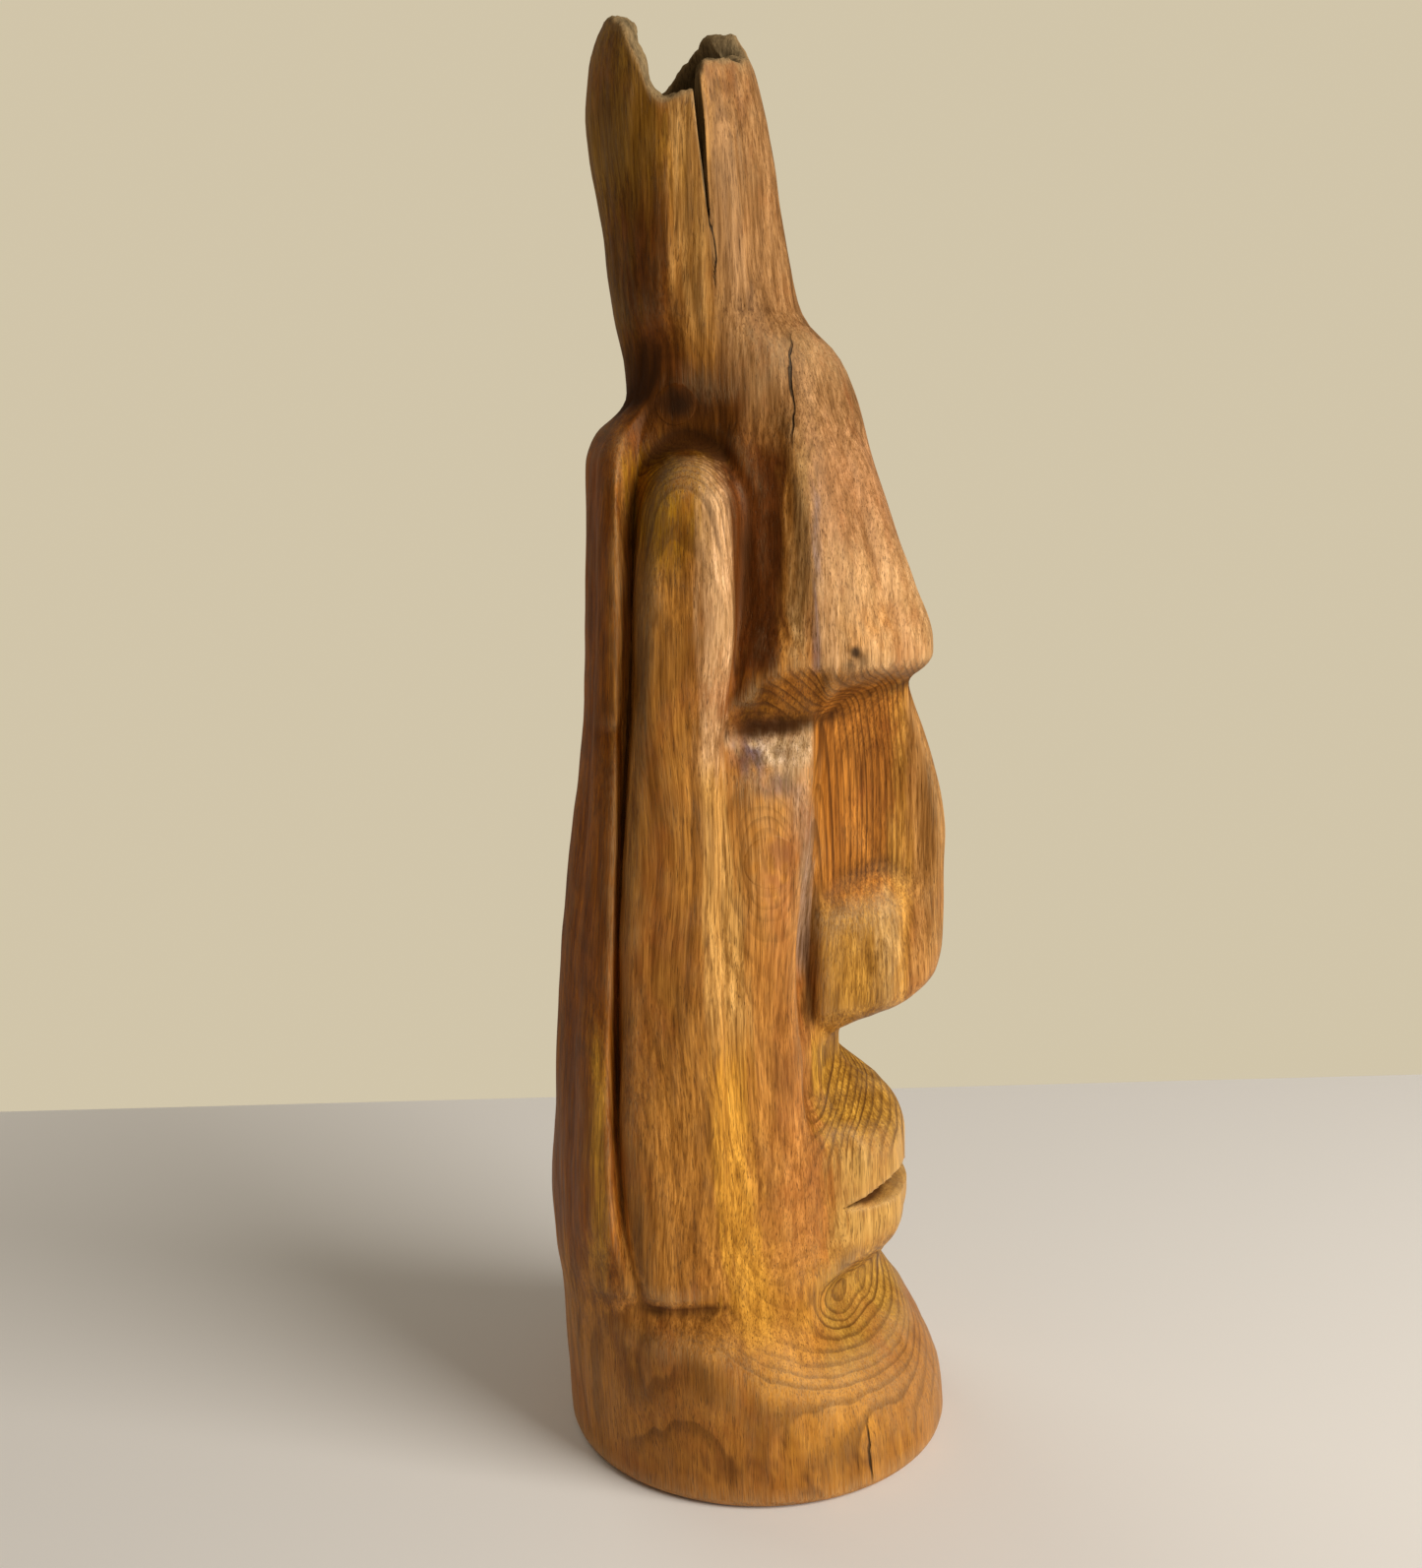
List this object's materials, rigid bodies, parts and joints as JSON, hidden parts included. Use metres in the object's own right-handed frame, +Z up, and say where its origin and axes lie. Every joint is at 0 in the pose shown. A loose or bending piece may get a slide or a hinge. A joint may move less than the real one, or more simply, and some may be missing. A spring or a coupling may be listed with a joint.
{
  "type": "tiki figure",
  "caption": "Hand-carved wooden head from one length of log, with a heavy brow, long nose, long ears, a flared round base and a hollow, broken crown.",
  "frame": {"origin": "centre of the flat underside", "axes": "+Z up the log, -Y the way the face looks, -X the figure's own right side"},
  "size_m": [0.117, 0.1175, 0.401],
  "materials": {
    "log_wood": "waxed satin, golden to red brown, with dark growth rings",
    "knot_wood": "waxed satin, reddish branch wood with oval rings",
    "dark_knot_wood": "waxed satin, dark brown branch wood"
  },
  "bodies": {
    "root": {"carved_log": "log_wood", "cheek_knot": "knot_wood", "temple_knot": "dark_knot_wood", "brow_knot": "dark_knot_wood"}
  },
  "joints": []
}
